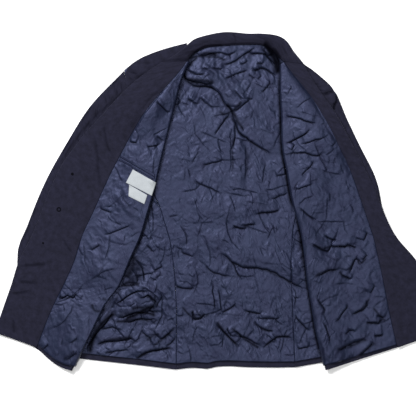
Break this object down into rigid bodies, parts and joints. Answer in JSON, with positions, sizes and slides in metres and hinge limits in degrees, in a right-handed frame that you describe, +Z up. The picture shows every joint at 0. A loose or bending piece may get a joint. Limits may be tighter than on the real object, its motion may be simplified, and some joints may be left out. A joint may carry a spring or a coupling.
{
  "type": "dress jacket",
  "caption": "Single-breasted wool dress jacket laid open on its back, lining up, sleeves pressed flat under the opened fronts.",
  "frame": {"origin": "middle of the jacket's box on the surface that it lies on", "axes": "+X across the opened jacket to the wearer's left front, +Y from the hem to the collar, +Z up from the surface"},
  "size_m": [1.016, 0.7764, 0.0337],
  "materials": {
    "navy_wool": "matte wool",
    "navy_satin": "satin",
    "white_label": "woven",
    "navy_button": "polished"
  },
  "bodies": {
    "root": {"shell_back": "navy_wool", "shell_side_left": "navy_wool", "shell_side_right": "navy_wool", "shell_front_left": "navy_wool", "shell_front_right": "navy_wool", "sleeve_left": "navy_wool", "sleeve_right": "navy_wool", "facing_left": "navy_wool", "facing_right": "navy_wool", "collar_stand": "navy_wool", "collar_fall": "navy_wool", "hem_back": "navy_wool", "hem_side_left": "navy_wool", "hem_side_right": "navy_wool", "hem_front_left": "navy_wool", "hem_front_right": "navy_wool", "lining_back": "navy_satin", "lining_side_left": "navy_satin", "lining_side_right": "navy_satin", "lining_front_left": "navy_satin", "lining_front_right": "navy_satin", "pocket_jet_upper": "navy_satin", "pocket_jet_lower": "navy_satin", "label": "white_label", "label_tag": "white_label", "button_1": "navy_button", "button_2": "navy_button", "button_3": "navy_button"}
  },
  "joints": []
}
